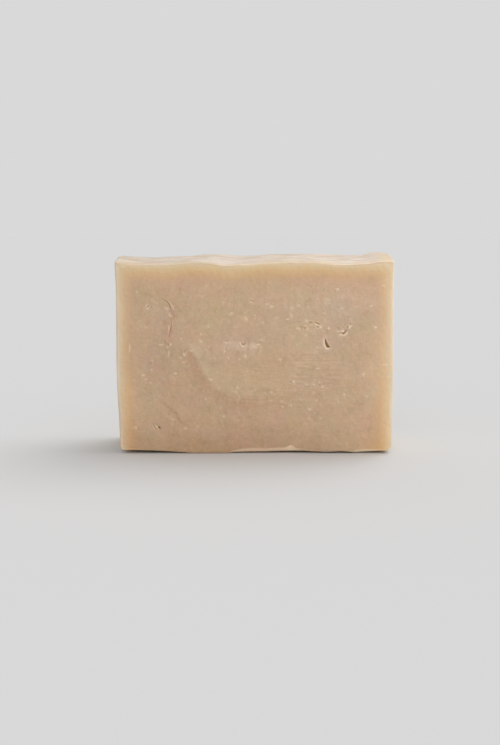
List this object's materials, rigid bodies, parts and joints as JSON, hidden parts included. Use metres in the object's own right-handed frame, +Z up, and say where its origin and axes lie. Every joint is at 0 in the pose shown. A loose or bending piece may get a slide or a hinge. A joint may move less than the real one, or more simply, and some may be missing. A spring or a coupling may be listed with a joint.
{
  "type": "bar of soap",
  "caption": "Hand-cut rectangular soap bar on its long edge, with a rippled poured top, cut faces with air pockets and cracks, and a chipped foot.",
  "frame": {"origin": "middle of the foot, on the surface that the bar stands on", "axes": "+X along the bar's width, +Y from the front cut face to the back one, through the bar's thickness, +Z up to the poured top"},
  "size_m": [0.086, 0.0254, 0.0624],
  "materials": {
    "soap": "waxy, satin, warm beige core with an amber rim along the ends and the poured top"
  },
  "bodies": {
    "root": {"soap_bar": "soap"}
  },
  "joints": []
}
